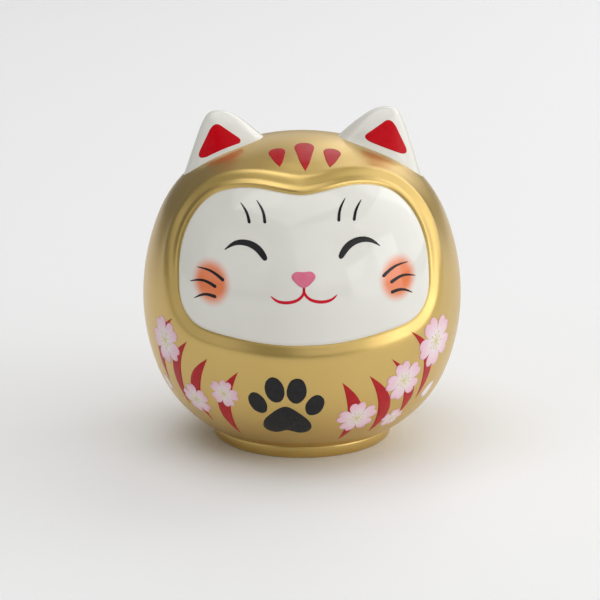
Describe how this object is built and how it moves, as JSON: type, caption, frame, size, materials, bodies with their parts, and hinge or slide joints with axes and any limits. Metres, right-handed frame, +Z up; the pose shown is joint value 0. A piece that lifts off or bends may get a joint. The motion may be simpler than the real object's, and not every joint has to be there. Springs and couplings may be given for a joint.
{
  "type": "cat daruma coin bank",
  "caption": "Round ceramic cat daruma coin bank with two ears, sunk white face, fired colour marks, coin slot at the back and a pull-out stopper underneath.",
  "frame": {"origin": "middle of the foot ring's resting face, on the table plane", "axes": "+Z up; the face looks along -Y; +X to the right as seen from the front"},
  "size_m": [0.12, 0.1199, 0.1252],
  "materials": {
    "gold_lacquer": "satin metallic gold lacquer over fired ceramic, soft sheen",
    "white_glaze": "glossy warm-white glaze, blushed at the cheeks",
    "stopper_rubber": "matt soft rubber, off-white",
    "red_transfer": "fired transfer, deep red, slightly glossy",
    "ear_red": "fired transfer, bright red, glossy",
    "black_transfer": "fired transfer, black, slightly glossy",
    "red_line": "fired transfer, thin red lines",
    "nose_pink": "fired transfer, pink",
    "blossom_pink": "fired transfer, pale pink petals, darker edges"
  },
  "bodies": {
    "bank": {"body_shell": "gold_lacquer", "foot_base": "gold_lacquer", "face_panel": "white_glaze", "ear_left": "white_glaze", "ear_right": "white_glaze", "forehead_mark_left": "red_transfer", "forehead_mark_centre": "red_transfer", "forehead_mark_right": "red_transfer", "ear_inner_left": "ear_red", "ear_inner_right": "ear_red", "eye_left": "black_transfer", "eye_right": "black_transfer", "brow_strokes_left": "black_transfer", "brow_strokes_right": "black_transfer", "whiskers_left": "black_transfer", "whiskers_right": "black_transfer", "nose": "nose_pink", "mouth": "red_line", "robe_stripes_left": "red_transfer", "robe_stripes_right": "red_transfer", "loose_petals": "blossom_pink", "chest_emblem": "black_transfer", "blossom_1": "blossom_pink", "blossom_2": "blossom_pink", "blossom_3": "blossom_pink", "blossom_4": "blossom_pink", "blossom_5": "blossom_pink", "blossom_6": "blossom_pink", "blossom_7": "blossom_pink"},
    "stopper": {"stopper": "stopper_rubber"}
  },
  "joints": [
    {"name": "stopper_pull", "type": "slide", "parent": "bank", "child": "stopper", "axis": [0, 0, -1], "range_m": [0, 0.03]}
  ]
}
